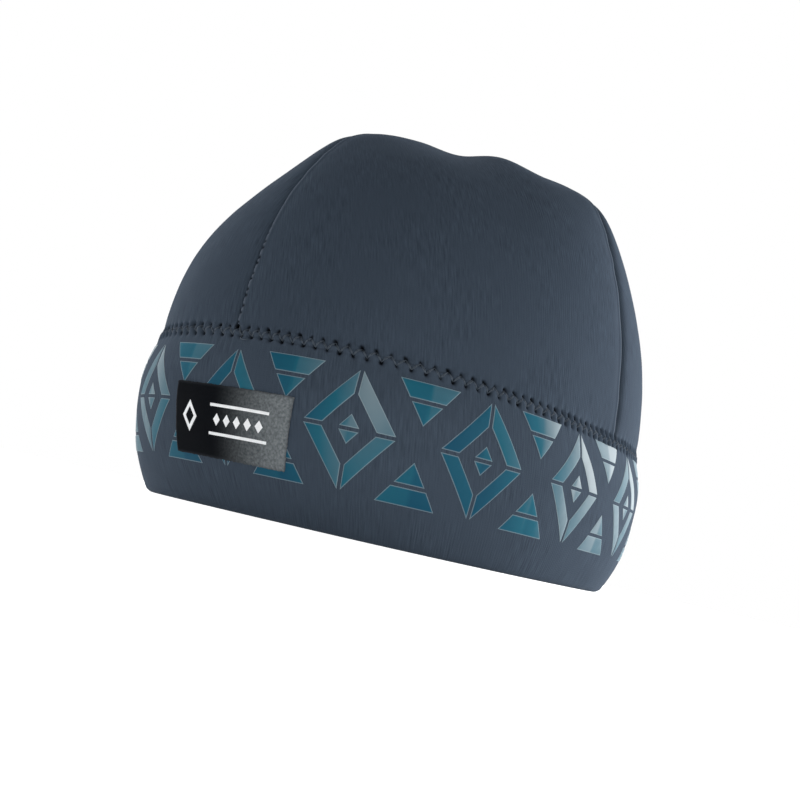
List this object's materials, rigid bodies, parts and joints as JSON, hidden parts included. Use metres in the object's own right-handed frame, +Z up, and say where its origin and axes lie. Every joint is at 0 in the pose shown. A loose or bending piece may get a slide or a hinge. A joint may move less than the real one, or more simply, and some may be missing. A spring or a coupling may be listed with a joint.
{
  "type": "neoprene beanie",
  "caption": "Close-fitting neoprene beanie: a domed crown of sewn panels over a folded, printed band, with a small woven label patch on the front.",
  "frame": {"origin": "middle of the overall length and width, in the plane of the rim that the hat stands on", "axes": "+Z up through the crown, -Y towards the front with the label, +X towards the wearer's left"},
  "size_m": [0.1736, 0.1947, 0.1489],
  "materials": {
    "crown_jersey": "matt slate-blue jersey on neoprene foam, fine vertical ribs",
    "band_jersey": "matt slate-blue jersey on neoprene foam, fine vertical ribs",
    "label_satin": "black woven satin with a soft sheen",
    "print_film": "thin pearly foil film, teal to silver",
    "seam_thread": "slate-blue polyester seam thread"
  },
  "bodies": {
    "root": {"band": "band_jersey", "crown_front_left": "crown_jersey", "crown_front_right": "crown_jersey", "crown_back_left": "crown_jersey", "crown_back_right": "crown_jersey", "label": "label_satin"}
  },
  "joints": []
}
